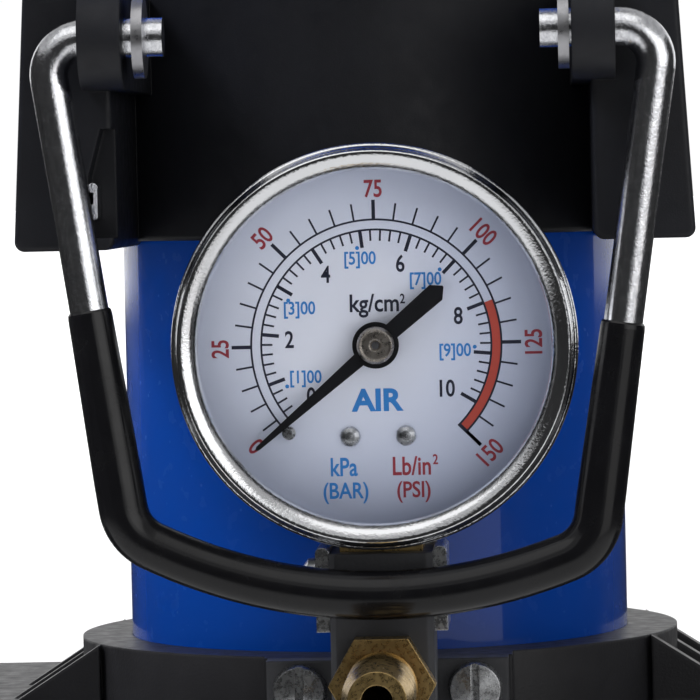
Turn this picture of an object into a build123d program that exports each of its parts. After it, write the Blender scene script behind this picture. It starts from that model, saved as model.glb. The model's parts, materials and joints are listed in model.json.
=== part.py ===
from build123d import *
import os
from math import atan2, cos, degrees, hypot, pi, radians, sin, sqrt, tan

# Double-acting hand pump with a pressure gauge, in millimetres.
# +Z up, the gauge faces -Y, origin on the floor under the axis of the barrel.

# --- driving dimensions ---
BARREL_R, BARREL_WALL = 35.0, 1.5
CYLINDER_R, CYLINDER_WALL = 20.0, 2.0
ROD_R = 6.0
STROKE = 376.0
BASE_HALF_X, BASE_HALF_Y, BASE_Z = 105.0, 50.0, (3.0, 9.0)
BOSS_R, BOSS_TOP = 42.0, 18.0
LOWER_HEAD_Z, UPPER_HEAD_Z = (7.0, 22.0), (60.0 + STROKE, 76.0 + STROKE)
BARREL_Z = (LOWER_HEAD_Z[0], UPPER_HEAD_Z[1])
HEAD_R = BARREL_R - BARREL_WALL - 0.05
VALVE_IN_X, VALVE_OUT_X, VALVE_OUT_INNER_X = -14.5, 27.5, 14.5
VALVE_DISC_R, VALVE_BORE_R, SEAT_R = 4.5, 5.0, 3.0

GAUGE_X, GAUGE_Z = 2.6, 60.0
BEZEL_R, WINDOW_R, CASE_R, CASE_WALL = 26.0, 22.6, 24.6, 0.8
CASE_BACK, BEZEL_FRONT = -41.5, -68.0
DIAL_Y = (-59.0, -58.2)
STEM_Y, STEM_HALF = -52.0, 5.4
POINTER_ZERO = 220.0
MANIFOLD_Y, MANIFOLD_Z, MANIFOLD_HALF = (-61.0, -46.0), (10.0, 33.2), 6.7
PORT_Z, FLANGE_SCREW_Z = 16.5, 14.0

COLLAR_Z, COLLAR_R = (73.6, 108.0), 38.5
EAR_X, EAR_FRONT, EAR_BOTTOM, EAR_LEAN = (31.0, 44.1), -58.0, 72.9, 3.2
PIVOT_Y, PIVOT_Z = -65.0, 100.0
WIRE_R, COAT_R, COAT_LIP_R, COAT_TAPER = 2.5, 3.16, 2.72, 22.0
STIRRUP_X, LEG_X, LEG_LEAN = 0.5, 33.5, 8.4
BAR_LOW, BAR_BOW_R, BAR_SHIFT, CORNER_R, END_BEND_R = 28.15, 66.0, 2.4, 6.5, 4.5
COAT_TOP = {-1: 65.3, 1: 62.5}

HANDLE_Z, HANDLE_HALF, HANDLE_TUBE_R, GRIP_R = 508.0, 105.0, 11.0, 15.5

PARTS = {}


# --- shapes ---
def block(x0, x1, y0, y1, z0, z1):
    return Pos((x0 + x1) / 2, (y0 + y1) / 2, (z0 + z1) / 2) * Box(x1 - x0, y1 - y0, z1 - z0)


def post(radius, z0, z1, x=0.0, y=0.0):
    return Pos(x, y, (z0 + z1) / 2) * Cylinder(radius, z1 - z0)


def tube(outer, inner, z0, z1, x=0.0, y=0.0):
    return post(outer, z0, z1, x, y) - post(inner, z0 - 1, z1 + 1, x, y)


def along_x(shape, y, z):
    """Lays a shape built on +Z along +X through (y, z)."""
    return Pos(0, y, z) * Rot(0, 90, 0) * shape


def along_y(shape, x, z):
    """Lays a shape built on +Z along +Y through (x, z)."""
    return Pos(x, 0, z) * Rot(-90, 0, 0) * shape


def turned(points):
    """Solid of revolution about Z from (radius, height) points."""
    return revolve(Plane.XZ * make_face(Polyline(*points, close=True)), axis=Axis.Z)


def hexagon(flats, z0, z1, x=0.0, y=0.0):
    return Pos(x, y, z0) * extrude(RegularPolygon(flats / 2, 6, major_radius=False), z1 - z0)


def in_gauge(x, z):
    """A point of the gauge, from its centre, as CAD x and z."""
    return GAUGE_X + x, GAUGE_Z + z


def keep(name, shape):
    PARTS[name] = shape


# --- base, barrel and pumping cylinder ---
def base_shape():
    sheet = RectangleRounded(2 * BASE_HALF_X, 2 * BASE_HALF_Y, 16)
    plate = extrude(Pos(0, 0, BASE_Z[0]) * sheet, BASE_Z[1] - BASE_Z[0])
    plate = chamfer(plate.faces().sort_by(Axis.Z)[-1].edges(), 1.2)
    body = plate + post(BOSS_R, BASE_Z[0], BOSS_TOP)
    body += block(GAUGE_X - 16.5, GAUGE_X + 16.5, -42, -30, BASE_Z[0], BOSS_TOP)
    for side in (-1, 1):
        for y in (-30, 0, 30):
            web = make_face(Polyline((38, 9), (52, 9), (38, 18), close=True))
            web = extrude(Plane.XZ * web, 2, both=True)
            body += Pos(0, y * 0.6, 0) * (web if side > 0 else mirror(web, Plane.YZ))
        for k in range(6):
            x = side * (60 + 7 * k)
            body += block(x - 1.2, x + 1.2, -34, 34, BASE_Z[1] - 0.5, BASE_Z[1] + 1.2)
    body -= post(BARREL_R + 0.02, BARREL_Z[0], BOSS_TOP + 1)
    body -= post(SEAT_R + 1, 0, 10, VALVE_IN_X)
    for x, y in base_screw_places():
        body -= post(2.6, 0, 10, x, y) + post(4.8, 0, 5.2, x, y)
    for x, y in foot_places():
        body -= post(4.0, 0, 7.0, x, y)
    body -= along_y(post(2.0, -43, -30), GAUGE_X, 14)
    for x in manifold_screw_x():
        body -= along_y(post(2.02, -43, -36), x, FLANGE_SCREW_Z)
    return body


def base_screw_places():
    return [(27.5 * cos(radians(a)), 27.5 * sin(radians(a))) for a in (50, 130, 230, 310)]


def foot_places():
    return [(sx * 90, sy * 38) for sx in (-1, 1) for sy in (-1, 1)]


def manifold_screw_x():
    return (GAUGE_X - 11.6, GAUGE_X + 11.6)


def valve_chamber(x, seat_z, up):
    """Bore with a seat at seat_z, opening towards +Z or -Z by up = 1 or -1."""
    z0, z1 = sorted((seat_z, seat_z + up * 8))
    return post(VALVE_BORE_R, z0, z1, x)


def lower_head():
    z0, z1 = LOWER_HEAD_Z
    body = post(HEAD_R, z0, z1)
    body -= tube(CYLINDER_R + CYLINDER_WALL + 0.02, CYLINDER_R - 0.02, z1 - 4, z1 + 1)
    body -= post(SEAT_R, z0 - 1, 17, VALVE_IN_X) + valve_chamber(VALVE_IN_X, 16, 1)
    body -= post(SEAT_R, 11, z1 + 1, VALVE_OUT_INNER_X - 2)
    body -= along_x(post(2.5, VALVE_OUT_INNER_X - 2, VALVE_OUT_X), 0, 12.5)
    body -= post(SEAT_R, 10, 17, VALVE_OUT_X) + valve_chamber(VALVE_OUT_X, 16, 1)
    body -= post(2.5, 13, z1 + 1, GAUGE_X, -27) + along_y(post(2.0, -40, -27), GAUGE_X, 14)
    for x, y in base_screw_places():
        body -= post(2.52, z0 - 1, 17, x, y)
    return body - oring_groove(11.5)


def upper_head():
    z0, z1 = UPPER_HEAD_Z
    body = post(HEAD_R, z0, z1)
    body -= tube(CYLINDER_R + CYLINDER_WALL + 0.02, CYLINDER_R - 0.02, z0 - 1, z0 + 4)
    body -= post(SEAT_R, 441, z1 + 1, VALVE_IN_X) + valve_chamber(VALVE_IN_X, 442, -1)
    body -= post(SEAT_R, z0 - 1, 447, VALVE_OUT_INNER_X)
    body -= along_x(post(2.5, VALVE_OUT_INNER_X, VALVE_OUT_X), 0, 445.5)
    body -= post(SEAT_R, 441, 447, VALVE_OUT_X) + valve_chamber(VALVE_OUT_X, 442, -1)
    body -= post(8.0, z0 - 1, z1 + 1)
    return body - oring_groove(448.5)


def oring_groove(z):
    return tube(HEAD_R + 2, HEAD_R - 2.35, z - 1.3, z + 1.3)


def oring(z):
    return Pos(0, 0, z) * Torus(HEAD_R - 1.15, 1.18)


def valve_spring(x, z0, z1):
    """Light conical wire spring between a disc and its retainer."""
    turns, wire = 2.5, 0.18
    helix = Helix(pitch=(z1 - z0 - 2 * wire) / turns, height=z1 - z0 - 2 * wire, radius=3.8)
    start = Plane(origin=helix @ 0, z_dir=helix % 0)
    return Pos(x, 0, z0 + wire) * sweep(start * Circle(wire), path=helix, is_frenet=True)


def barrel():
    body = tube(BARREL_R, BARREL_R - BARREL_WALL, *BARREL_Z)
    return body - along_y(post(2.0, -40, -30), GAUGE_X, 14)


def base_group():
    keep("base", base_shape())
    feet = [post(9, 0, BASE_Z[0], x, y) + post(3.98, BASE_Z[0], 6.8, x, y) for x, y in foot_places()]
    keep("rubber_feet", feet + [post(9, 0, BASE_Z[0])])
    screws = []
    for x, y in base_screw_places():
        screws.append(post(4.6, 3.4, 5.2, x, y) + post(2.5, 5.2, 16, x, y) - hexagon(3, 3.3, 4.4, x, y))
    keep("base_screws", screws)
    keep("barrel", barrel())
    keep("lower_head", lower_head())
    keep("upper_head", upper_head())
    keep("head_orings", [oring(11.5), oring(448.5)])
    z0, z1 = LOWER_HEAD_Z[1] - 4, UPPER_HEAD_Z[0] + 4
    keep("cylinder", tube(CYLINDER_R + CYLINDER_WALL, CYLINDER_R, z0 + 0.8, z1 - 0.8))
    gasket = (CYLINDER_R + CYLINDER_WALL, CYLINDER_R)
    keep("cylinder_gaskets", [tube(*gasket, z0, z0 + 0.8), tube(*gasket, z1 - 0.8, z1)])


def valve_group():
    places = (
        ("lower_inlet", VALVE_IN_X, 16, 1),
        ("lower_outlet", VALVE_OUT_X, 16, 1),
        ("upper_inlet", VALVE_IN_X, 442, -1),
        ("upper_outlet", VALVE_OUT_X, 442, -1),
    )
    retainers = []
    for name, x, seat, up in places:
        disc_far, hold, end = seat + up * 1.4, seat + up * 4.5, seat + up * 6
        keep("valve_disc_" + name, post(VALVE_DISC_R, *sorted((seat, disc_far)), x))
        if up < 0:
            keep("valve_spring_" + name, valve_spring(x, *sorted((disc_far, hold))))
        retainers.append(tube(VALVE_BORE_R - 0.01, 2.8, *sorted((hold, end)), x))
    keep("valve_retainers", retainers)


# --- piston, rod and handle ---
def cup(base_z, up):
    """Pressed cup seal whose lip points up or down."""
    foot, lip, inner = base_z, base_z + up * 8, base_z + up * 2
    edge = CYLINDER_R - 0.04
    return turned([(5.02, foot), (edge - 0.6, foot), (edge, foot + up * 0.8), (edge, lip), (edge - 1.2, lip),
                   (edge - 2, inner + up * 1.5), (edge - 3, inner), (5.02, inner)])


def grip(side):
    """Moulded hand grip: ribs, an inner flange and a closed outer end."""
    points = [(HANDLE_TUBE_R, 28), (GRIP_R + 3, 28), (GRIP_R + 3, 31), (GRIP_R - 1, 33)]
    for k in range(9):
        x = 36 + 7 * k
        points += [(GRIP_R - 1, x), (GRIP_R, x + 1.2), (GRIP_R, x + 4.2), (GRIP_R - 1, x + 5.4)]
    points += [(GRIP_R - 1, 102), (GRIP_R + 0.8, 104), (GRIP_R + 0.8, 106), (GRIP_R - 3, 109), (0, 109),
               (0, HANDLE_HALF), (HANDLE_TUBE_R, HANDLE_HALF)]
    shape = along_x(turned(points), 0, HANDLE_Z)
    return shape if side > 0 else mirror(shape, Plane.YZ)


def handle_hub():
    body = turned([(0, 487), (13, 487), (15, 490), (15, 500), (12.5, 523), (0, 523)])
    sleeve = Pos(0, 0, -26) * Cylinder(15, 52, align=(Align.CENTER, Align.CENTER, Align.MIN))
    sleeve = chamfer(sleeve.edges(), 1.5)
    body += along_x(sleeve, 0, HANDLE_Z)
    body -= along_x(post(HANDLE_TUBE_R + 0.01, -40, 40), 0, HANDLE_Z)
    return body - post(5.02, 480, 530)


def piston_group():
    z = 25.0
    keep("piston_nut", hexagon(17, z, z + 6) - post(5.02, 0, 60))
    keep("piston_washers", [tube(15, 5.02, 31, 33), tube(15, 5.02, 51, 53)])
    keep("piston_cups", [cup(35, -1), cup(49, 1)])
    body = turned([(5.02, 35), (19.6, 35), (19.6, 39), (18.9, 39), (18.9, 45), (19.6, 45), (19.6, 49), (5.02, 49)])
    keep("piston_body", body)
    keep("piston_ring", tube(CYLINDER_R - 0.03, 18.92, 39.05, 44.95))
    rod = turned([(0, 24), (4.4, 24), (5, 24.6), (5, 53), (ROD_R, 53), (ROD_R, 487), (5, 487), (5, 530), (0, 530)])
    keep("piston_rod", rod)
    keep("handle_hub", handle_hub())
    bar = along_x(tube(HANDLE_TUBE_R, HANDLE_TUBE_R - 1.6, -HANDLE_HALF, HANDLE_HALF), 0, HANDLE_Z)
    keep("handle_tube", bar - post(5.02, 490, 525))
    dome = turned([(0, 524), (9.8, 524), (9.8, 531), (7.5, 535), (4, 537.2), (0, 537.8)])
    nut = (hexagon(17, 524, 540) & dome) + post(11, 523, 524.5)
    keep("handle_nut", nut - post(5.02, 520, 531))
    keep("hand_grips", [grip(-1), grip(1)])


def top_group():
    cap = turned([(0, 436), (40, 436), (40, 458), (38, 461), (34, 462), (12, 462), (12, 473), (11, 474), (0, 474)])
    for k in range(24):
        a = 15 * k
        flute = post(1.6, 438, 456, 41 * cos(radians(a)), 41 * sin(radians(a)))
        cap -= flute
    cap -= post(BARREL_R + 0.02, 430, 452) + post(6.6, 430, 480) + post(10, 466, 480)
    cap -= post(2.2, 440, 470, VALVE_IN_X)
    keep("top_cap", cap)
    keep("rod_bush", tube(8.0, ROD_R + 0.05, 436, 452))
    keep("rod_seal", turned([(ROD_R + 0.03, 466), (9.98, 466), (9.98, 470), (7.6, 470), (7.2, 468), (ROD_R + 0.8, 470),
                             (ROD_R + 0.03, 470)]))
    keep("gland_ring", tube(9.98, ROD_R + 0.4, 470, 474))
    keep("bumper", turned([(7, 474), (12.5, 474), (13.5, 476), (13.5, 483.8), (12, 486.8), (7, 486.8)]))


# --- collar and stirrup ---
def ear(side):
    """Side cheek of the collar, with the pivot nose of the stirrup. The left one has a pocket for the clip."""
    inner, outer = EAR_X
    top = COLLAR_Z[1]
    outer_top = outer - tan(radians(EAR_LEAN)) * (top - EAR_BOTTOM)
    face = make_face(Polyline((inner, EAR_BOTTOM), (outer, EAR_BOTTOM), (outer_top, top), (inner, top), close=True))
    face = fillet([v for v in face.vertices() if v.Y < EAR_BOTTOM + 1], 1.3)
    cheek = Pos(0, 8, 0) * extrude(Plane.XZ * face, 8 - EAR_FRONT)
    cheek = fillet(cheek.faces().sort_by(Axis.Y)[0].edges(), 0.7)
    if side < 0:
        pocket = make_face(Polyline((inner - 1, 88.6), (inner + 1.5, 88.6), (inner + 3.2, 82.5),
                                    (inner + 3.2, EAR_BOTTOM + 1.6), (inner - 1, EAR_BOTTOM + 1.6), close=True))
        cheek -= Pos(0, EAR_FRONT + 5, 0) * extrude(Plane.XZ * pocket, 10)
    panel = block(outer - 1.8, outer + 2, EAR_FRONT + 7, -6, 80, top - 7)
    cheek -= fillet(panel.edges().filter_by(Axis.X), 3) + block(outer - 5, outer + 2, -6, 10, top - 12, top + 1)
    nose = along_x(post(6.5, 28.5, 34), PIVOT_Y, PIVOT_Z)
    nose += block(28.5, 34, PIVOT_Y, EAR_FRONT + 6, PIVOT_Z - 6.5, PIVOT_Z + 6.5)
    nose += block(28.5, 32, EAR_FRONT + 4, -20, PIVOT_Z - 6.5, PIVOT_Z + 6.5)
    shape = cheek + nose - along_x(post(WIRE_R + 0.08, 20, 50), PIVOT_Y, PIVOT_Z)
    return shape if side > 0 else mirror(shape, Plane.YZ)


def collar():
    z0, z1 = COLLAR_Z
    ring = post(COLLAR_R, z0, z1)
    ring = fillet(ring.edges().sort_by(Axis.Z)[0], 0.7)
    body = ring + ear(1) + ear(-1)
    for side in (-1, 1):
        lug = block(1.5, 8, 34, 50, 84, 100)
        body += lug if side > 0 else mirror(lug, Plane.YZ)
    body -= post(BARREL_R, z0 - 5, z1 + 5)
    body -= block(-1.5, 1.5, 30, 60, z0 - 5, z1 + 5)
    body -= along_x(post(2.6, -12, 12), 44, 92)
    return body - clip_shape()


def clip_shape():
    """Small plated spring clip let into the left ear beside the stirrup leg: an eye, a waist and a foot."""
    x, front, back = -(EAR_X[0] + 2.6), EAR_FRONT - 0.4, EAR_FRONT + 8
    clip = along_y(post(0.62, front, back), x, 81.0) + block(x + 0.05, x + 0.55, front, back, 77.4, 80.8)
    foot = block(x - 0.5, x + 0.55, front, back, 76.9, 78.9)
    return clip + fillet(foot.edges().filter_by(Axis.Y), 0.4)


def leg_point(z):
    return LEG_X + (z - GAUGE_Z) * tan(radians(LEG_LEAN)), z


def stirrup_turns(side):
    """Tangent points of the corner arc between one leg and the bowed bar, for a bar whose low point is off centre."""
    lean = radians(LEG_LEAN)
    down, inward = (-sin(lean), -cos(lean)), (-cos(lean), sin(lean))
    px, pz = leg_point(PIVOT_Z)
    bx, cz = side * BAR_SHIFT, BAR_LOW + BAR_BOW_R
    ox, oz = px + CORNER_R * inward[0] - bx, pz + CORNER_R * inward[1] - cz
    b = ox * down[0] + oz * down[1]
    c = ox * ox + oz * oz - (BAR_BOW_R - CORNER_R) ** 2
    t = -b + sqrt(b * b - c)
    centre = (ox + t * down[0] + bx, oz + t * down[1] + cz)
    on_leg = (centre[0] - CORNER_R * inward[0], centre[1] - CORNER_R * inward[1])
    reach = hypot(centre[0] - bx, centre[1] - cz)
    on_bar = (bx + (centre[0] - bx) * BAR_BOW_R / reach, cz + (centre[1] - cz) * BAR_BOW_R / reach)
    mx, mz = on_leg[0] + on_bar[0] - 2 * centre[0], on_leg[1] + on_bar[1] - 2 * centre[1]
    k = CORNER_R / hypot(mx, mz)
    return [at_plane(p, side) for p in (on_leg, (centre[0] + k * mx, centre[1] + k * mz), on_bar)]


def at_plane(point, side=1):
    """A point of the stirrup's plane, counted outwards from its own middle."""
    return (STIRRUP_X + side * point[0], PIVOT_Y, point[1])


def bar_edges():
    """Corner, bowed bar and corner of the stirrup, left to right."""
    left, right = stirrup_turns(-1), stirrup_turns(1)
    low = at_plane((BAR_SHIFT, BAR_LOW))
    return [ThreePointArc(*left), ThreePointArc(left[2], low, right[2]), ThreePointArc(*reversed(right))]


def end_bend(side):
    """Inward turned wire end: where the leg stops, the arc's middle and where the pin starts."""
    turn = radians(90 + LEG_LEAN)
    cut = END_BEND_R * tan(turn / 2)
    px, pz = leg_point(PIVOT_Z)
    lean = radians(LEG_LEAN)
    low = (px - cut * sin(lean), pz - cut * cos(lean))
    pin = (px - cut, pz)
    centre = (px - cut, pz - END_BEND_R)
    mx, mz = (low[0] + pin[0]) / 2 - centre[0], (low[1] + pin[1]) / 2 - centre[1]
    k = END_BEND_R / hypot(mx, mz)
    mid = (centre[0] + k * mx, centre[1] + k * mz)
    return at_plane(low, side), at_plane(mid, side), at_plane(pin, side)


def swept(edges, radius, start, direction):
    return sweep(Plane(origin=start, z_dir=direction) * Circle(radius), path=Wire(edges))


def stirrup_group():
    on_leg = {side: stirrup_turns(side)[0] for side in (-1, 1)}
    ends = {side: end_bend(side) for side in (-1, 1)}
    tips = {side: at_plane((24.0, PIVOT_Z), side) for side in (-1, 1)}
    edges = [Line(tips[-1], ends[-1][2]), ThreePointArc(*reversed(ends[-1])), Line(ends[-1][0], on_leg[-1]),
             *bar_edges(), Line(on_leg[1], ends[1][0]), ThreePointArc(*ends[1]), Line(ends[1][2], tips[1])]
    wire = swept(edges, WIRE_R, tips[-1], (-1, 0, 0))
    keep("stirrup_wire", wire)
    lean = radians(LEG_LEAN)
    full = {side: at_plane(leg_point(COAT_TOP[side] - COAT_TAPER), side) for side in (-1, 1)}
    edges = [Line(full[-1], on_leg[-1]), *bar_edges(), Line(on_leg[1], full[1])]
    coat = swept(edges, COAT_R, full[-1], (sin(lean), 0, -cos(lean)))
    rise = COAT_TAPER / cos(lean)
    for side in (-1, 1):
        cone = turned([(0, -0.01), (COAT_R, -0.01), (COAT_R, 0), (COAT_LIP_R + 0.14, rise - 0.8),
                       (COAT_LIP_R + 0.08, rise - 0.25), (COAT_LIP_R - 0.1, rise), (0, rise)])
        coat += Plane(origin=full[side], z_dir=(side * sin(lean), 0, cos(lean))) * cone
    keep("stirrup_coat", coat - wire)
    nuts = []
    for side in (-1, 1):
        x0, x1 = sorted((STIRRUP_X + side * 26.3, STIRRUP_X + side * 27.7))
        nuts.append(along_x(tube(5.2, WIRE_R, x0, x1), PIVOT_Y, PIVOT_Z))
    keep("push_nuts", nuts)


def collar_group():
    keep("collar", collar())
    keep("collar_clip", clip_shape())
    screw = post(2.5, -8, 13.5) + turned([(0, -8), (4.6, -8), (4.6, -9.6), (3.4, -11.2), (0, -11.2)])
    screw -= block(-0.6, 0.6, -6, 6, -12, -10.2)
    keep("clamp_screw", along_x(screw, 44, 92))
    keep("clamp_nut", along_x(hexagon(8, 8, 12) - post(2.5, 0, 20), 44, 92))


# --- manifold and gauge ---
def manifold():
    (y0, y1), (z0, z1), h = MANIFOLD_Y, MANIFOLD_Z, MANIFOLD_HALF
    body = block(GAUGE_X - h, GAUGE_X + h, y0, y1, z0, z1)
    body = chamfer(body.edges().filter_by(Axis.Z), 0.8)
    body += block(GAUGE_X - 16, GAUGE_X + 16, y1, -42, z0, BOSS_TOP)
    body -= post(4.86, 25, z1 + 1, GAUGE_X, STEM_Y) + post(2, 13, 30, GAUGE_X, STEM_Y)
    body -= along_y(post(2, STEM_Y, -40), GAUGE_X, 14)
    body -= along_y(post(4.86, y0 - 1, y0 + 5.5), GAUGE_X, PORT_Z) + along_y(post(2, y0, STEM_Y), GAUGE_X, PORT_Z)
    body -= along_x(post(1.51, GAUGE_X - h - 1, GAUGE_X - 4.5), -56.6, 29.5)
    for x in manifold_screw_x():
        body -= along_y(post(2.02, -60, -40), x, FLANGE_SCREW_Z)
    return body


def bracket():
    """Plated U strap that hugs the manifold beside the gauge stem."""
    h, t = MANIFOLD_HALF, 1.8
    strap = block(GAUGE_X - h - t, GAUGE_X + h + t, -59.6, -44.6, 23, 33.9)
    strap -= block(GAUGE_X - h, GAUGE_X + h, -70, -46, 20, 40)
    strap = fillet(strap.edges().filter_by(Axis.Y).group_by(Axis.Z)[-1], 0.7)
    strap = fillet(strap.edges().filter_by(Axis.Z).filter_by(lambda e: e.center().Y > -45), 1.2)
    return strap - along_x(post(1.6, GAUGE_X - 15, GAUGE_X + 15), -56.6, 29.5)


def barb():
    """Outlet: threaded root, hexagon and a four-ridge hose tail pointing forward."""
    points = [(0, -5), (4.84, -5), (4.84, 0), (6.0, 0), (6.0, 4), (3.6, 4), (3.6, 6)]
    for k in range(4):
        points += [(4.6, 6 + 4 * k), (3.7, 10 + 4 * k)]
    shape = turned(points + [(0, 22)]) + hexagon(12, 0, 4) - post(2, -6, 30)
    return Pos(GAUGE_X, MANIFOLD_Y[0], PORT_Z) * Rot(90, 0, 0) * shape


def bezel():
    """Rolled ring: skirt, thin lip, steep outer wall and a wide band that rolls in to the window."""
    f = BEZEL_FRONT
    outline = [
        Polyline((24.75, f + 10.5), (25.6, f + 10.5), (25.95, f + 4.5)),
        Spline((25.95, f + 4.5), (BEZEL_R, f + 2.7), (25.86, f + 2.0), (25.62, f + 1.8)),
        Spline((25.62, f + 1.8), (25.4, f + 1.45), (25.2, f + 0.7), (25.05, f + 0.2), (24.85, f + 0.02)),
        Spline((24.85, f + 0.02), (24.7, f), (24.2, f + 0.11), (23.5, f + 0.45), (22.95, f + 1.0), (WINDOW_R, f + 1.7)),
        Polyline((WINDOW_R, f + 1.7), (WINDOW_R, f + 3.0), (24.75, f + 3.0), (24.75, f + 10.5)),
    ]
    ring = revolve(Plane.XZ * make_face(outline), axis=Axis.Z)
    return along_y(ring, GAUGE_X, GAUGE_Z)


def case():
    r, front = CASE_R, -62.4
    can = turned([(0, CASE_BACK), (r - 1.5, CASE_BACK), (r, CASE_BACK - 1.5), (r, front), (r - CASE_WALL, front),
                  (r - CASE_WALL, CASE_BACK - 1.8), (r - 2.0, CASE_BACK - CASE_WALL), (0, CASE_BACK - CASE_WALL)])
    body = along_y(can, GAUGE_X, GAUGE_Z)
    s = STEM_HALF + 0.02
    return body - block(GAUGE_X - s, GAUGE_X + s, STEM_Y - s, STEM_Y + s, 30, 45)


def socket():
    """Brass stem: thread, square and the block inside the case, with its drilled air way."""
    s = STEM_HALF
    body = block(GAUGE_X - s, GAUGE_X + s, STEM_Y - s, STEM_Y + s, MANIFOLD_Z[1], 37)
    body += post(4.85, 25.2, MANIFOLD_Z[1], GAUGE_X, STEM_Y)
    body += block(GAUGE_X - 5, GAUGE_X + 5, -56.2, -47.4, 36, 51)
    body -= post(1.5, 20, 42, GAUGE_X, STEM_Y)
    for x in (-3.6, 3.6):
        cx, cz = in_gauge(x, -11.8)
        body -= along_y(post(0.76, -58, -52), cx, cz)
    return body


def bourdon():
    ring = turned([(17.6, -54.8), (19.2, -54.8), (19.6, -54.2), (19.6, -50.2), (19.2, -49.6), (17.6, -49.6),
                   (17.2, -50.2), (17.2, -54.2)])
    ring = along_y(ring, GAUGE_X, GAUGE_Z)
    gap = make_face(Polyline((0, 0), (40, -4), (40, -40), (4.9, -40), (4.9, -10), close=True))
    ring -= Pos(GAUGE_X, 0, GAUGE_Z) * extrude(Plane.XZ * gap, 40, both=True)
    ring -= block(GAUGE_X - 5, GAUGE_X + 5, -60, -40, 30, 51)
    tip_x, tip_z = in_gauge(18.4, -1.2)
    cap = block(tip_x - 1.6, tip_x + 1.6, -54.8, -49.0, tip_z - 2.2, tip_z + 0.4)
    return ring + cap


def plates():
    outline = Polyline((-7.5, -14.5), (7.5, -14.5), (7.5, 12), (-7.5, 12), close=True)
    made = []
    for y0, y1 in ((-57.0, -56.2), (-47.4, -46.6)):
        plate = Pos(GAUGE_X, y1, GAUGE_Z) * extrude(Plane.XZ * fillet(make_face(outline).vertices(), 1.5), y1 - y0)
        for x, z in ((0, 0), (0, 9)):
            plate -= along_y(post(0.62, -60, -40), *in_gauge(x, z))
        if y0 < -50:
            for x in (-3.6, 3.6):
                plate -= along_y(post(0.76, -60, -40), *in_gauge(x, -11.8))
        for x, z in PILLARS:
            plate -= along_y(post(0.7, -60, -40), *in_gauge(x, z))
        made.append(plate)
    return made


PILLARS = ((-6, 10.5), (-6, -5.5), (6, -5.5))
GEAR_MODULE, PINION_TEETH, SECTOR_TEETH, SECTOR_START = 0.2, 10, 80, -18.0


def tail_pin():
    """Pin at the tail of the sector, where the link from the Bourdon tube arrives."""
    a = radians(SECTOR_START)
    return in_gauge(7.2 * cos(a), 9 + 7.2 * sin(a))


def teeth(count, first, last, phase):
    """Outline points of straight-flanked teeth, shallow and thin so that they run with backlash."""
    pitch = GEAR_MODULE * count / 2
    root, tip = pitch - 0.16, pitch + 0.1
    step = 360 / count
    points = []
    for k in range(first, last):
        for r, f in ((root, -0.22), (tip, -0.1), (tip, 0.1), (root, 0.22)):
            a = radians(phase + step * (k + f))
            points.append((r * cos(a), r * sin(a)))
    return points


def gear_group():
    pinion = make_face(Polyline(*teeth(PINION_TEETH, 0, PINION_TEETH, 108), close=True))
    arbor = along_y(post(0.5, -61.75, -45.8), GAUGE_X, GAUGE_Z) + along_y(post(0.8, -59.5, -57.4), GAUGE_X, GAUGE_Z)
    arbor += along_y(post(1.4, -49.3, -48.1), GAUGE_X, GAUGE_Z)
    arbor += Pos(GAUGE_X, -51, GAUGE_Z) * extrude(Plane.XZ * pinion, 3)
    keep("arbor", arbor)
    span = 7
    rim = teeth(SECTOR_TEETH, -span, span + 1, 270)
    inner = 6.2
    back = [(inner * cos(radians(a)), inner * sin(radians(a))) for a in (301, 285, 270, 255, 239)]
    sector = make_face(Polyline(*rim, *back, close=True))
    arm = make_face(Polyline((-0.9, 0), (-0.9, -7), (0.9, -7), (0.9, 0), close=True))
    tail = make_face(Polyline((0, -0.8), (7.9, -0.8), (7.9, 0.8), (0, 0.8), close=True))
    flat = sector + arm + tail + Circle(2)
    cx, cz = in_gauge(0, 9)
    body = Pos(cx, -51.6, cz) * extrude(Plane.XZ * (Rot(0, 0, SECTOR_START) * flat), 1.6)
    body += along_y(post(0.6, -57.4, -46.2), cx, cz)
    body += along_y(post(0.45, -52.0, -49.0), *tail_pin())
    keep("sector_gear", body)


def pointer():
    """Needle along its pointing direction, with a widening tail and a round boss."""
    face = make_face(Polyline((-10.3, -1.27), (-11.5, -0.12), (-11.5, 0.12), (-10.3, 1.27), (0, 1.02), (20.2, 0.3),
                              (20.6, 0), (20.2, -0.3), (0, -1.02), close=True))
    face += Circle(3.0)
    face -= Circle(0.5)
    plate = extrude(Plane.XZ * (Rot(0, 0, POINTER_ZERO) * face), 0.5)
    return Pos(GAUGE_X, -60.9, GAUGE_Z) * plate


def hairspring():
    turns, r0, r1, thick = 3.5, 1.5, 4.6, 0.16
    count = int(turns * 24)
    inner, outer = [], []
    for k in range(count + 1):
        a = 2 * pi * turns * k / count
        r = r0 + (r1 - r0) * k / count
        inner.append((r * cos(a), r * sin(a)))
        outer.append(((r + thick) * cos(a), (r + thick) * sin(a)))
    face = make_face(Polyline(*inner, *reversed(outer), close=True))
    spiral = Pos(GAUGE_X, -48.2, GAUGE_Z) * extrude(Plane.XZ * face, 1.0)
    stud_x, stud_z = in_gauge(-r1 - thick, 0)
    return spiral + block(stud_x - 0.9, stud_x + 0.25, -49.4, -47.4, stud_z - 0.7, stud_z + 0.7)


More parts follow.
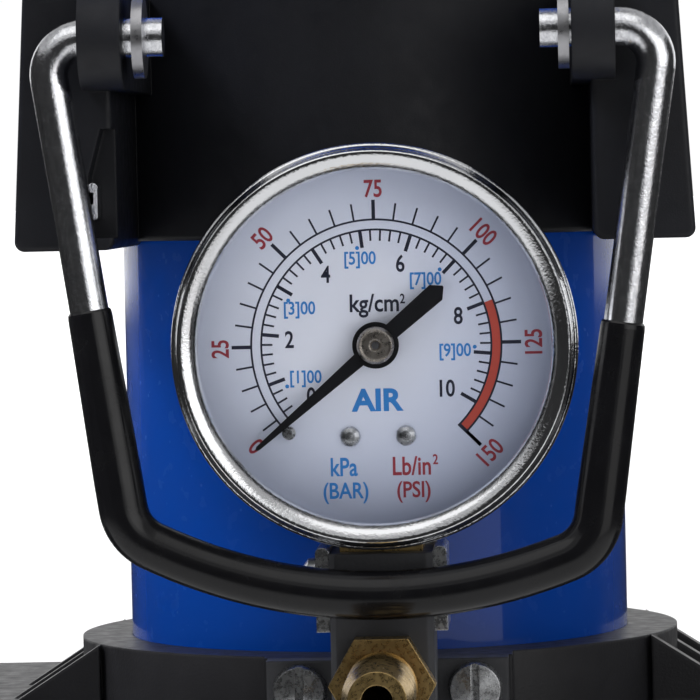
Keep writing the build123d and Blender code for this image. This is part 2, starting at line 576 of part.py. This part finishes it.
def gauge_group():
    keep("manifold", manifold())
    screws = []
    for x in manifold_screw_x():
        head = turned([(0, -48.6), (3.3, -48.2), (3.6, -46), (0, -46)]) - block(-0.5, 0.5, -5, 5, -50, -47.6)
        screws.append(along_y(head + post(2.0, -46.2, -36.2), x, FLANGE_SCREW_Z))
    keep("manifold_screws", screws)
    keep("hose_barb", barb())
    keep("bracket", bracket())
    x = GAUGE_X - MANIFOLD_HALF
    head = turned([(0, x - 1.8), (3.0, x - 1.8), (2.9, x - 2.8), (1.8, x - 3.6), (0, x - 3.6)])
    head -= block(-0.45, 0.45, -4, 4, x - 4.4, x - 2.9)
    keep("bracket_screw", along_x(head + post(1.5, x - 1.9, x + 2.0), -56.6, 29.5))
    keep("gauge_case", case())
    keep("bezel", bezel())
    keep("lens", along_y(turned([(0, -64.9), (24.5, -64.9), (24.5, -63.2), (0, -63.2)]), GAUGE_X, GAUGE_Z))
    keep("lens_gasket", along_y(tube(24.5, 23.3, -63.2, -62.4), GAUGE_X, GAUGE_Z))
    dial = along_y(post(23.4, *DIAL_Y), GAUGE_X, GAUGE_Z) - along_y(post(1.2, -60, -57), GAUGE_X, GAUGE_Z)
    dial_screws = []
    for sx in (-3.6, 3.6):
        place = in_gauge(sx, -11.8)
        dial -= along_y(post(0.9, -60, -57), *place)
        head = turned([(0, -59.9), (0.7, -59.8), (1.2, -59.5), (1.32, -59.0), (0, -59.0)])
        dial_screws.append(along_y(head + post(0.75, -59.1, -52.5), *place))
    pin_place = in_gauge(16.0 * cos(radians(POINTER_ZERO + 4.2)), 16.0 * sin(radians(POINTER_ZERO + 4.2)))
    keep("dial", dial - along_y(post(0.6, -60, -57), *pin_place))
    keep("dial_screws", dial_screws)
    keep("stop_pin", along_y(post(0.6, -61.8, -57.8) + post(0.86, -60.2, DIAL_Y[0]), *pin_place))
    keep("gauge_socket", socket())
    keep("bourdon_tube", bourdon())
    keep("movement_plates", plates())
    pillar = post(1.1, -56.2, -47.4) + post(0.68, -57, -46.6)
    keep("movement_pillars", [along_y(pillar, *in_gauge(x, z)) for x, z in PILLARS])
    link_x, link_z = tail_pin()
    tip_x, tip_z = in_gauge(18.4, -2.0)
    run = hypot(tip_x - link_x, tip_z - link_z)
    bar = block(0, run, -48.9, -48.3, -0.5, 0.5) + along_y(post(0.9, -49.0, -48.3), run, 0)
    keep("bourdon_link", Pos(link_x, 0, link_z) * Rot(0, -degrees(atan2(tip_z - link_z, tip_x - link_x)), 0) * bar)
    gear_group()
    keep("hairspring", hairspring())
    keep("pointer", pointer())
    cap = turned([(0.5, -61.4), (2.4, -61.4), (2.4, -62.1), (2.1, -62.5), (1.98, -62.5), (1.86, -62.32), (0.75, -62.36),
                  (0.5, -62.05)])
    keep("pointer_cap", along_y(cap, GAUGE_X, GAUGE_Z))


base_group()
valve_group()
piston_group()
top_group()
collar_group()
stirrup_group()
gauge_group()

os.makedirs("parts", exist_ok=True)
for name, shape in PARTS.items():
    solids = [s for piece in (shape if isinstance(shape, list) else [shape]) for s in piece.solids()]
    body = solids[0] if len(solids) == 1 else Compound(children=solids)
    export_step(body, f"parts/{name}.step")
    print(name, len(solids))
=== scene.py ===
import json
import math

import bmesh
import bpy
from mathutils import Matrix, Vector


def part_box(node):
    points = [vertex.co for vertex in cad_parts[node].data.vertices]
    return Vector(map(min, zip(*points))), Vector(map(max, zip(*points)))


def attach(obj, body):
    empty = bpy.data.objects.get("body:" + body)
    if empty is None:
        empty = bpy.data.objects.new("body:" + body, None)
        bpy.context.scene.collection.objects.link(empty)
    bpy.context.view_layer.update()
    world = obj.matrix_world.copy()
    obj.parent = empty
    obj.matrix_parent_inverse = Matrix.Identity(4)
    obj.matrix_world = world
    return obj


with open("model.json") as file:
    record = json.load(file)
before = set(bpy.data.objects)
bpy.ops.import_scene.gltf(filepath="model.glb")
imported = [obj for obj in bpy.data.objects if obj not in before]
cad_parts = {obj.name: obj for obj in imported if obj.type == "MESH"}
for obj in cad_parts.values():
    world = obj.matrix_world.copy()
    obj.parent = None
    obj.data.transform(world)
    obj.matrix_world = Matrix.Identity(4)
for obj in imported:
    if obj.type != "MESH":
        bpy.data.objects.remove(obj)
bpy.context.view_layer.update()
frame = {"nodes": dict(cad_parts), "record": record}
MM = 0.001
ROOT = "pump_body"

dial_lo, dial_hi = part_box("dial")
bezel_lo, bezel_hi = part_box("bezel")
GAUGE = Vector(((bezel_lo.x + bezel_hi.x) / 2, bezel_lo.y, (bezel_lo.z + bezel_hi.z) / 2))
DIAL_Y = dial_lo.y


# ---------------------------------------------------------------- materials
class Tree:
    """Short hand for building a node material."""

    def __init__(self, name):
        self.mat = bpy.data.materials.new(name)
        self.mat.use_nodes = True
        self.nodes, self.links = self.mat.node_tree.nodes, self.mat.node_tree.links
        self.bsdf = self.nodes["Principled BSDF"]
        self.coord = self.nodes.new("ShaderNodeTexCoord").outputs["Object"]

    def set(self, **values):
        for key, value in values.items():
            self.bsdf.inputs[key.replace("_", " ")].default_value = value

    def put(self, node, **inputs):
        for key, value in inputs.items():
            socket = node.inputs[key] if key in node.inputs else node.inputs[int(key[1:])]
            if isinstance(value, bpy.types.NodeSocket):
                self.links.new(value, socket)
            else:
                socket.default_value = value
        return node

    def noise(self, scale, detail=2.0, rough=0.5, stretch=None):
        node = self.nodes.new("ShaderNodeTexNoise")
        vector = self.coord
        if stretch:
            mapping = self.put(self.nodes.new("ShaderNodeMapping"), Vector=self.coord)
            mapping.inputs["Scale"].default_value = stretch
            vector = mapping.outputs[0]
        self.put(node, Vector=vector, Scale=scale, Detail=detail, Roughness=rough)
        return node.outputs["Fac"]

    def cells(self, scale, feature="F1"):
        node = self.nodes.new("ShaderNodeTexVoronoi")
        node.feature = feature
        self.put(node, Vector=self.coord, Scale=scale)
        return node.outputs["Distance"]

    def ramp(self, value, *stops):
        node = self.nodes.new("ShaderNodeValToRGB")
        ramp = node.color_ramp
        while len(ramp.elements) < len(stops):
            ramp.elements.new(0.5)
        for element, (at, colour) in zip(ramp.elements, stops):
            element.position = at
            element.color = (*colour, 1) if len(colour) == 3 else colour
        self.links.new(value, node.inputs[0])
        return node.outputs[0]

    def span(self, value, low, high, from_low=0.0, from_high=1.0):
        node = self.nodes.new("ShaderNodeMapRange")
        self.put(node, Value=value)
        limits = (("From Min", from_low), ("From Max", from_high), ("To Min", low), ("To Max", high))
        for key, number in limits:
            node.inputs[key].default_value = number
        return node.outputs[0]

    def times(self, a, b):
        node = self.nodes.new("ShaderNodeMath")
        node.operation = "MULTIPLY"
        return self.put(node, _0=a, _1=b).outputs[0]

    def from_point(self, operation, point=None):
        """Length of the coordinate, or its distance from a point."""
        node = self.nodes.new("ShaderNodeVectorMath")
        node.operation = operation
        self.links.new(self.coord, node.inputs[0])
        if point:
            node.inputs[1].default_value = point
        return node.outputs["Value"]

    def mix(self, fac, a, b):
        node = self.nodes.new("ShaderNodeMix")
        node.data_type = "RGBA"
        for socket, value in ((node.inputs[0], fac), (node.inputs[6], a), (node.inputs[7], b)):
            if isinstance(value, bpy.types.NodeSocket):
                self.links.new(value, socket)
            else:
                socket.default_value = value if isinstance(value, float) else (*value, 1)
        return node.outputs[2]

    def drive(self, **sockets):
        for key, value in sockets.items():
            self.links.new(value, self.bsdf.inputs[key.replace("_", " ")])

    def bump(self, height, strength, distance, edge=None):
        node = self.nodes.new("ShaderNodeBump")
        self.put(node, Height=height, Strength=strength, Distance=distance)
        if edge:
            bevel = self.nodes.new("ShaderNodeBevel")
            bevel.samples = 4
            bevel.inputs["Radius"].default_value = edge
            self.links.new(bevel.outputs[0], node.inputs["Normal"])
        self.links.new(node.outputs[0], self.bsdf.inputs["Normal"])


def scaled(tone, k):
    return tuple(min(1, c * k) for c in tone)


def chrome():
    t = Tree("chrome")
    t.set(Metallic=1.0)
    blotch = t.noise(220, 3)
    t.drive(Base_Color=t.mix(blotch, (0.74, 0.75, 0.78), (0.86, 0.87, 0.89)),
            Roughness=t.span(t.noise(900, 4, 0.7), 0.02, 0.1, 0.35, 0.7))
    t.bump(t.noise(2600, 3, 0.6), 0.6, 0.00007)
    return t.mat


def wire_chrome():
    t = Tree("wire_chrome")
    t.set(Metallic=1.0)
    grain = t.span(t.noise(1500, 4, 0.7, (1.0, 1.0, 0.5)), 0.0, 1.0, 0.3, 0.7)
    t.drive(Base_Color=t.mix(grain, (0.58, 0.59, 0.63), (0.90, 0.91, 0.94)),
            Roughness=t.span(t.noise(1800, 4, 0.7), 0.1, 0.26, 0.35, 0.7))
    t.bump(t.noise(2600, 4, 0.6), 0.52, 0.00006)
    return t.mat


def plated(name, dark, light, low, high, edge=0.0002):
    t = Tree(name)
    t.set(Metallic=1.0)
    t.drive(Base_Color=t.mix(t.noise(700, 4), dark, light),
            Roughness=t.span(t.noise(1600, 4, 0.7), low, high, 0.3, 0.7))
    t.bump(t.noise(2400, 3), 0.25, 0.00005, edge)
    return t.mat


def blue_enamel():
    t = Tree("blue_enamel")
    t.set(IOR=1.2, Coat_Weight=0.8, Coat_Roughness=0.03, Coat_IOR=1.4)
    base = t.mix(t.noise(25, 2), (0.0003, 0.030, 0.21), (0.0005, 0.040, 0.26))
    speck = t.ramp(t.cells(420), (0.0, (1, 1, 1)), (0.06, (1, 1, 1)), (0.1, (0, 0, 0)))
    mask = t.times(speck, t.span(t.noise(60, 2), 0.0, 0.35, 0.5, 0.75))
    t.drive(Base_Color=t.mix(mask, base, (0.12, 0.24, 0.55)),
            Roughness=t.span(t.noise(300, 3), 0.16, 0.3, 0.3, 0.7))
    t.bump(t.noise(450, 2), 0.12, 0.00006)
    return t.mat


def matte_black(name, tone, low, high, grain=5200, depth=0.00005, edge=0.0004):
    t = Tree(name)
    t.set(Specular_IOR_Level=0.28)
    dust = t.ramp(t.cells(1100), (0.0, (1, 1, 1)), (0.035, (1, 1, 1)), (0.06, (0, 0, 0)))
    lift = t.mix(t.noise(140, 3), scaled(tone, 0.8), scaled(tone, 1.35))
    mask = t.times(dust, t.span(t.noise(90, 2), 0.0, 0.5, 0.5, 0.8))
    t.drive(Base_Color=t.mix(mask, lift, (0.10, 0.10, 0.12)),
            Roughness=t.span(t.noise(500, 4), low, high, 0.3, 0.7))
    t.bump(t.noise(grain, 2), 0.35, depth, edge)
    return t.mat


def vinyl():
    t = Tree("black_vinyl")
    t.set(Specular_IOR_Level=0.25, Coat_Weight=0.25, Coat_Roughness=0.08, Coat_IOR=1.35)
    t.drive(Base_Color=t.mix(t.noise(160, 3), (0.002, 0.002, 0.0025), (0.005, 0.005, 0.006)),
            Roughness=t.span(t.noise(350, 3), 0.16, 0.3, 0.3, 0.7))
    t.bump(t.noise(240, 2), 0.2, 0.00012)
    return t.mat


def soft(name, tone, low=0.55, high=0.8, grain=2600):
    t = Tree(name)
    t.drive(Base_Color=t.mix(t.noise(300, 3), scaled(tone, 0.75), scaled(tone, 1.3)),
            Roughness=t.span(t.noise(700, 3), low, high, 0.3, 0.7))
    t.bump(t.noise(grain, 3), 0.35, 0.00006)
    return t.mat


def enamel(name, tone, low=0.3, high=0.45, vary=0.04):
    t = Tree(name)
    t.drive(Base_Color=t.mix(t.noise(180, 3), scaled(tone, 1 - vary), scaled(tone, 1 + vary)),
            Roughness=t.span(t.noise(900, 3), low, high, 0.3, 0.7))
    t.bump(t.noise(3000, 2), 0.1, 0.00002)
    return t.mat


def dial_face():
    """White enamel with painted shade: greyer and bluer towards the rim and away from a lit spot up and left
    of the centre, standing in for the bezel rim's shadow.
    """
    t = Tree("dial_white")
    # painted shade: the colour darkens with distance from a lit spot up and left of the dial's centre
    lit_spot_distance = t.from_point("DISTANCE", (GAUGE.x - 5.5 * MM, DIAL_Y, GAUGE.z + 3.5 * MM))
    tone = t.ramp(t.span(lit_spot_distance, 0.0, 1.0, 0.008, 0.030),
                  (0.0, (0.79, 0.815, 0.905)), (0.35, (0.68, 0.72, 0.845)), (1.0, (0.42, 0.47, 0.63)))
    t.drive(Base_Color=tone, Roughness=t.span(t.noise(900, 3), 0.35, 0.5, 0.3, 0.7))
    t.bump(t.noise(3000, 2), 0.1, 0.00002)
    return t.mat


def clear():
    """Thin window: mostly see-through, with a faint mirror at a grazing look."""
    t = Tree("clear")
    t.set(Transmission_Weight=1.0, IOR=1.02, Base_Color=(0.97, 0.975, 0.98, 1))
    t.drive(Roughness=t.span(t.noise(80, 2), 0.0, 0.01, 0.3, 0.7))
    out = t.nodes["Material Output"]
    see = t.nodes.new("ShaderNodeBsdfTransparent")
    see.inputs[0].default_value = (0.95, 0.955, 0.965, 1)
    gloss = t.nodes.new("ShaderNodeBsdfGlossy")
    gloss.inputs["Roughness"].default_value = 0.03
    fresnel = t.nodes.new("ShaderNodeFresnel")
    fresnel.inputs[0].default_value = 1.12
    mix = t.nodes.new("ShaderNodeMixShader")
    t.links.new(fresnel.outputs[0], mix.inputs[0])
    t.links.new(see.outputs[0], mix.inputs[1])
    t.links.new(gloss.outputs[0], mix.inputs[2])
    t.links.new(mix.outputs[0], out.inputs[0])
    return t.mat


def print_ink(name, tone):
    return enamel(name, tone, 0.4, 0.55, 0.12)


CHROME = chrome()
STEEL = plated("zinc_plate", (0.42, 0.43, 0.45), (0.72, 0.73, 0.74), 0.18, 0.38)
BRASS = plated("brass", (0.40, 0.27, 0.10), (0.66, 0.48, 0.22), 0.2, 0.4)
BRONZE = plated("bronze", (0.34, 0.22, 0.12), (0.52, 0.36, 0.2), 0.3, 0.5)
ALLOY = plated("aluminium", (0.55, 0.56, 0.58), (0.74, 0.75, 0.77), 0.25, 0.42)
SPRING = plated("spring_steel", (0.3, 0.3, 0.32), (0.5, 0.5, 0.52), 0.25, 0.4, 0.00005)
PLASTIC = matte_black("black_plastic", (0.0065, 0.007, 0.0095), 0.42, 0.58)
LOOKS = {
    "black_casting": matte_black("black_casting", (0.016, 0.016, 0.018), 0.35, 0.5, 2600, 0.0001, 0.0006),
    "blue_enamel": blue_enamel(),
    "black_plastic": PLASTIC,
    "black_vinyl": vinyl(),
    "chrome": CHROME,
    "zinc": STEEL,
    "dark_zinc": matte_black("dark_zinc", (0.035, 0.036, 0.04), 0.4, 0.55, 2000, 0.0001, 0.0005),
    "aluminium": ALLOY,
    "brass": BRASS,
    "bronze": BRONZE,
    "rubber": soft("rubber", (0.018, 0.018, 0.018)),
    "grip_rubber": soft("grip_rubber", (0.014, 0.014, 0.015), 0.5, 0.7, 1800),
    "leather": soft("leather", (0.26, 0.14, 0.06), 0.5, 0.75, 1200),
    "ptfe": enamel("ptfe", (0.75, 0.75, 0.72)),
    "clear": clear(),
    "dial_white": dial_face(),
    "needle_black": matte_black("needle_black", (0.005, 0.005, 0.007), 0.4, 0.55, 3000, 0.00002, 0.0001),
    "spring_steel": SPRING,
}
WIRE = wire_chrome()
CAP = plated("pointer_cap", (0.30, 0.26, 0.22), (0.62, 0.57, 0.51), 0.2, 0.4, 0.0003)

slots = {s["node"]: s["material_slot"] for s in frame["record"]["subparts"]}
special = {"stirrup_wire": WIRE, "pointer_cap": CAP}
for node, obj in frame["nodes"].items():
    look = special.get(node, LOOKS[slots[node]])
    obj.data.materials.clear()
    obj.data.materials.append(look)


# ---------------------------------------------------------------- dial print
PRINT_FIT = 0.988
DOT_SIDES = 14
CAP_HEIGHT = 0.69


def on_dial(r, angle, lift=0.02):
    """Point of the dial at r mm and angle degrees clockwise from the top."""
    a = math.radians(angle)
    r *= PRINT_FIT
    return Vector((GAUGE.x + r * MM * math.sin(a), DIAL_Y - lift * MM, GAUGE.z + r * MM * math.cos(a)))


class Print:
    """All marks of one ink, gathered in one mesh."""

    def __init__(self, name, ink):
        self.name, self.ink, self.bm = name, ink, bmesh.new()

    def face(self, points):
        verts = [self.bm.verts.new(p) for p in points]
        self.bm.faces.new(verts)

    def arc(self, r0, r1, a0, a1, lift=0.02, step=1.5):
        n = max(1, math.ceil(abs(a1 - a0) / step))
        angles = [a0 + (a1 - a0) * k / n for k in range(n + 1)]
        for a, b in zip(angles, angles[1:]):
            self.face([on_dial(r, angle, lift) for r, angle in ((r0, a), (r1, a), (r1, b), (r0, b))])

    def tick(self, r0, r1, angle, width, lift=0.025):
        a = math.radians(angle)
        side = Vector((math.cos(a), 0, -math.sin(a))) * width * MM / 2
        p, q = on_dial(r0, angle, lift), on_dial(r1, angle, lift)
        self.face([p - side, q - side, q + side, p + side])

    def dot(self, r, angle, radius):
        centre = on_dial(r, angle, 0.025)
        turns = [math.tau * k / DOT_SIDES for k in range(DOT_SIDES)]
        self.face([centre + Vector((math.sin(a), 0, math.cos(a))) * radius * MM for a in turns])

    def text(self, words, x, z, height, turn=0.0, squeeze=0.8, weight=0.018):
        """Words centred at x, z mm from the dial's centre, turned counter-clockwise by turn degrees."""
        curve = bpy.data.curves.new("words", "FONT")
        curve.body = words
        curve.align_x, curve.align_y = "CENTER", "CENTER"
        curve.offset = weight
        curve.resolution_u = 4
        holder = bpy.data.objects.new("words", curve)
        bpy.context.scene.collection.objects.link(holder)
        bpy.context.view_layer.update()
        mesh = bpy.data.meshes.new_from_object(holder.evaluated_get(bpy.context.evaluated_depsgraph_get()))
        zs = [v.co.y for v in mesh.vertices]
        xs = [v.co.x for v in mesh.vertices]
        mid = Vector(((min(xs) + max(xs)) / 2, (min(zs) + max(zs)) / 2))
        k = height * MM / CAP_HEIGHT
        turn_m = Matrix.Rotation(-math.radians(turn), 4, "Y")
        place = Vector((GAUGE.x + x * PRINT_FIT * MM, DIAL_Y - 0.03 * MM, GAUGE.z + z * PRINT_FIT * MM))
        for v in mesh.vertices:
            flat = Vector(((v.co.x - mid.x) * k * squeeze, 0, (v.co.y - mid.y) * k))
            v.co = place + turn_m @ flat
        self.bm.from_mesh(mesh)
        bpy.data.objects.remove(holder)
        bpy.data.curves.remove(curve)
        bpy.data.meshes.remove(mesh)

    def done(self):
        mesh = bpy.data.meshes.new(self.name)
        for f in self.bm.faces:
            if f.normal.y > 0:
                f.normal_flip()
        self.bm.normal_update()
        self.bm.to_mesh(mesh)
        mesh.materials.append(self.ink)
        obj = bpy.data.objects.new(self.name, mesh)
        bpy.context.scene.collection.objects.link(obj)
        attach(obj, ROOT)
        return obj


NAVY, RED, BLUE = (0.012, 0.016, 0.04), (0.36, 0.03, 0.05), (0.02, 0.22, 0.62)
PSI, BAR = 1.8, 1.8 * 14.2233
R_OUT, R_IN = 16.33, 15.02
REST, SCALE_START, SCALE_END = -135, -131.5, 135
RING_HALF = 0.13
THICK, THIN = 0.46, 0.25

black = Print("dial_print_black", print_ink("ink_black", NAVY))
for r in (R_OUT, R_IN):
    black.arc(r - RING_HALF, r + RING_HALF, SCALE_START, SCALE_END)
for psi in range(5, 151, 5):
    major = psi % 25 == 0
    black.tick(R_OUT, 18.9 if major else 18.6, REST + PSI * psi, THICK if major else THIN)
black.tick(R_IN - RING_HALF, 18.9, SCALE_END, THICK)
for k in range(2, 51):
    major = k % 5 == 0
    black.tick(12.75 if major else 13.55, R_IN, REST + BAR * k / 5, THICK if major else THIN)
KG_NUMBERS = ((0, 10.8, -127), (2, 11.36, -85.4), (4, 11.3, -34.5), (6, 11.07, 17.7), (8, 11.35, 71.7),
              (10, 10.87, 122.7))
for value, r, at in KG_NUMBERS:
    a = math.radians(at)
    black.text(str(value), r * math.sin(a), r * math.cos(a), 2.1)
black.text("kg/cm", -0.13, 5.1, 2.2, squeeze=0.86)
black.text("2", 3.55, 5.95, 1.2)

red = Print("dial_print_red", print_ink("ink_red", RED))
PSI_NUMBERS = ((0, 20.6, -129, 135), (25, 20.4, -90.5, 90), (50, 20.4, -45.6, 45), (75, 20.35, 0, 0),
               (100, 20.3, 45, -45), (125, 20.5, 90, 90), (150, 20.4, 134.4, 45))
for psi, r, at, turn in PSI_NUMBERS:
    a = math.radians(at)
    red.text(str(psi), r * math.sin(a), r * math.cos(a), 2.15, turn)
red.text("Lb/in", 4.3, -15.9, 2.3, squeeze=0.78)
red.text("2", 7.4, -15.1, 1.25)
red.text("(PSI)", 4.5, -19.3, 2.0, squeeze=0.84)

zone = Print("dial_print_zone", print_ink("ink_zone", (0.50, 0.06, 0.035)))
zone.arc(R_IN + RING_HALF, R_OUT - RING_HALF, REST + BAR * 8, SCALE_END)

blue = Print("dial_print_blue", print_ink("ink_blue", BLUE))
KPA_NUMBERS = ((1, -9.28, -4.25, -113.9), (3, -9.9, 4.74, -62.1), (5, -1.86, 11.1, -9.9),
               (7, 6.63, 8.23, 41.4), (9, 10.29, -1.14, 92.4))
for n, x, z, at in KPA_NUMBERS:
    blue.text("[%d]00" % n, x, z, 1.6, squeeze=0.84)
    blue.dot(12.85, at, 0.26)
blue.text("kPa", -4.54, -15.9, 2.3, squeeze=0.76)
blue.text("(BAR)", -4.38, -19.3, 2.0, squeeze=0.84)
blue.text("AIR", 0, -7.2, 2.7, squeeze=1.05, weight=0.035)
for ink in (black, red, zone, blue):
    ink.done()


# ---------------------------------------------------------------- stage, light and camera
def floor_material():
    """Pale sheet, lit a little from within far out, so that it runs into the white surroundings."""
    t = Tree("floor_white")
    tone = t.mix(t.noise(6, 2), (0.88, 0.88, 0.885), (0.9, 0.9, 0.905))
    t.drive(Base_Color=tone, Roughness=t.span(t.noise(20, 2), 0.5, 0.6), Emission_Color=tone,
            Emission_Strength=t.span(t.from_point("LENGTH"), 0.12, 0.95, 0.3, 1.15))
    return t.mat


FLOOR_HALF = 20
floor_mesh = bpy.data.meshes.new("floor")
bm = bmesh.new()
bmesh.ops.create_grid(bm, x_segments=1, y_segments=1, size=FLOOR_HALF)
bm.to_mesh(floor_mesh)
floor = bpy.data.objects.new("floor", floor_mesh)
floor_mesh.materials.append(floor_material())
floor.visible_glossy = False
bpy.context.scene.collection.objects.link(floor)


def softbox(name, turn, height, distance, size_x, size_y, glow, colour=(1, 1, 1), mirrored=True):
    """Rectangular light of radiance glow, turn degrees to the right of the gauge's front and facing it."""
    data = bpy.data.lights.new(name, "AREA")
    data.shape, data.size, data.size_y = "RECTANGLE", size_x, size_y
    data.energy, data.color = glow * math.pi * size_x * size_y, colour
    obj = bpy.data.objects.new(name, data)
    a = math.radians(turn)
    obj.location = GAUGE + Vector((distance * math.sin(a), -distance * math.cos(a), height))
    obj.rotation_mode = "QUATERNION"
    obj.rotation_quaternion = (GAUGE - obj.location).to_track_quat("-Z", "Y")
    obj.visible_camera, obj.visible_glossy = False, mirrored
    bpy.context.scene.collection.objects.link(obj)


softbox("box_right", 43, 0.1, 1.0, 0.72, 0.95, 0.82, (1.0, 0.985, 0.97))
softbox("box_top", -20, 0.9, 0.45, 1.2, 0.8, 0.75, (1.0, 0.99, 0.975))
softbox("key_left", -60, 0.75, 0.7, 0.3, 0.25, 34, mirrored=False)
softbox("left_fill", -105, 0.3, 0.8, 0.6, 0.5, 4.6, mirrored=False)
softbox("right_fill", 112, 0.3, 0.8, 0.6, 0.5, 2.5, mirrored=False)


def flag(name, turn, distance, width, low, high):
    """Black card that darkens what the plating and the paint mirror; the camera looks through it."""
    mesh = bpy.data.meshes.new(name)
    a = math.radians(turn)
    middle = Vector((GAUGE.x + distance * math.sin(a), GAUGE.y - distance * math.cos(a), 0))
    side = Vector((math.cos(a), math.sin(a), 0)) * width / 2
    bottom, top = Vector((0, 0, low)), Vector((0, 0, high))
    corners = [middle - side + bottom, middle + side + bottom, middle + side + top, middle - side + top]
    mesh.from_pydata(corners, [], [(0, 1, 2, 3)])
    mesh.materials.append(CARD)
    card = bpy.data.objects.new(name, mesh)
    card.visible_camera = card.visible_shadow = False
    bpy.context.scene.collection.objects.link(card)
    return card


CARD = soft("flag_cloth", (0.012, 0.012, 0.012), 0.8, 0.95, 400)
FLAG_DISTANCE, FLAG_LOW = 1.2, -0.3
FLAGS = (("flag_front", -16.5, 1.25, 0.6), ("flag_front_left", -66, 0.98, 0.7), ("flag_left", -112, 1.1, 0.7),
         ("flag_right", 101, 1.2, 0.7))
for name, turn, width, high in FLAGS:
    flag(name, turn, FLAG_DISTANCE, width, FLAG_LOW, high)
# dark card seen only in reflections, with no shadow and no diffuse light: a painted dark reflection in the
# gloss around the gauge
gobo = flag("flag_over_gauge", 0, -0.018, 0.028, 0.108, 0.2)
gobo.visible_diffuse = False


def sky():
    """White all round, dimmer overhead; under the horizon, what the gloss mirrors in place of the floor."""
    world = bpy.data.worlds.new("studio")
    bpy.context.scene.world = world
    world.use_nodes = True
    nodes, links = world.node_tree.nodes, world.node_tree.links
    split = nodes.new("ShaderNodeSeparateXYZ")
    links.new(nodes.new("ShaderNodeTexCoord").outputs["Generated"], split.inputs[0])

    def fade(low, high, start, end):
        node = nodes.new("ShaderNodeMapRange")
        node.interpolation_type = "SMOOTHSTEP"
        links.new(split.outputs["Z"], node.inputs[0])
        for key, number in (("From Min", low), ("From Max", high), ("To Min", start), ("To Max", end)):
            if isinstance(number, bpy.types.NodeSocket):
                links.new(number, node.inputs[key])
            else:
                node.inputs[key].default_value = number
        return node.outputs[0]

    under = fade(-0.5, -0.22, 0.8, 0.03)
    over = fade(0.25, 0.6, 1.02, 0.4)
    links.new(fade(-0.03, -0.018, under, over), nodes["Background"].inputs[1])
    nodes["Background"].inputs[0].default_value = (1.0, 1.0, 1.0, 1)


sky()

cam_data = bpy.data.cameras.new("camera")
cam = bpy.data.objects.new("camera", cam_data)
bpy.context.scene.collection.objects.link(cam)
bpy.context.scene.camera = cam
cam_data.lens, cam_data.sensor_width = 243.0, 36.0
cam_data.clip_start, cam_data.clip_end = 0.05, 50
AZ, EL, ROLL, DISTANCE = 2.5, 2.0, 1.3, 0.600
aim = GAUGE + Vector((-3.0 * MM, 0, -0.3 * MM))
a, e = math.radians(AZ), math.radians(EL)
back = Vector((math.sin(a) * math.cos(e), -math.cos(a) * math.cos(e), math.sin(e)))
cam.location = aim + back * DISTANCE
cam.rotation_mode = "QUATERNION"
roll = Matrix.Rotation(-math.radians(ROLL), 4, "Z").to_quaternion()
cam.rotation_quaternion = (-back).to_track_quat("-Z", "Y") @ roll

scene = bpy.context.scene
scene.view_settings.view_transform = "Standard"
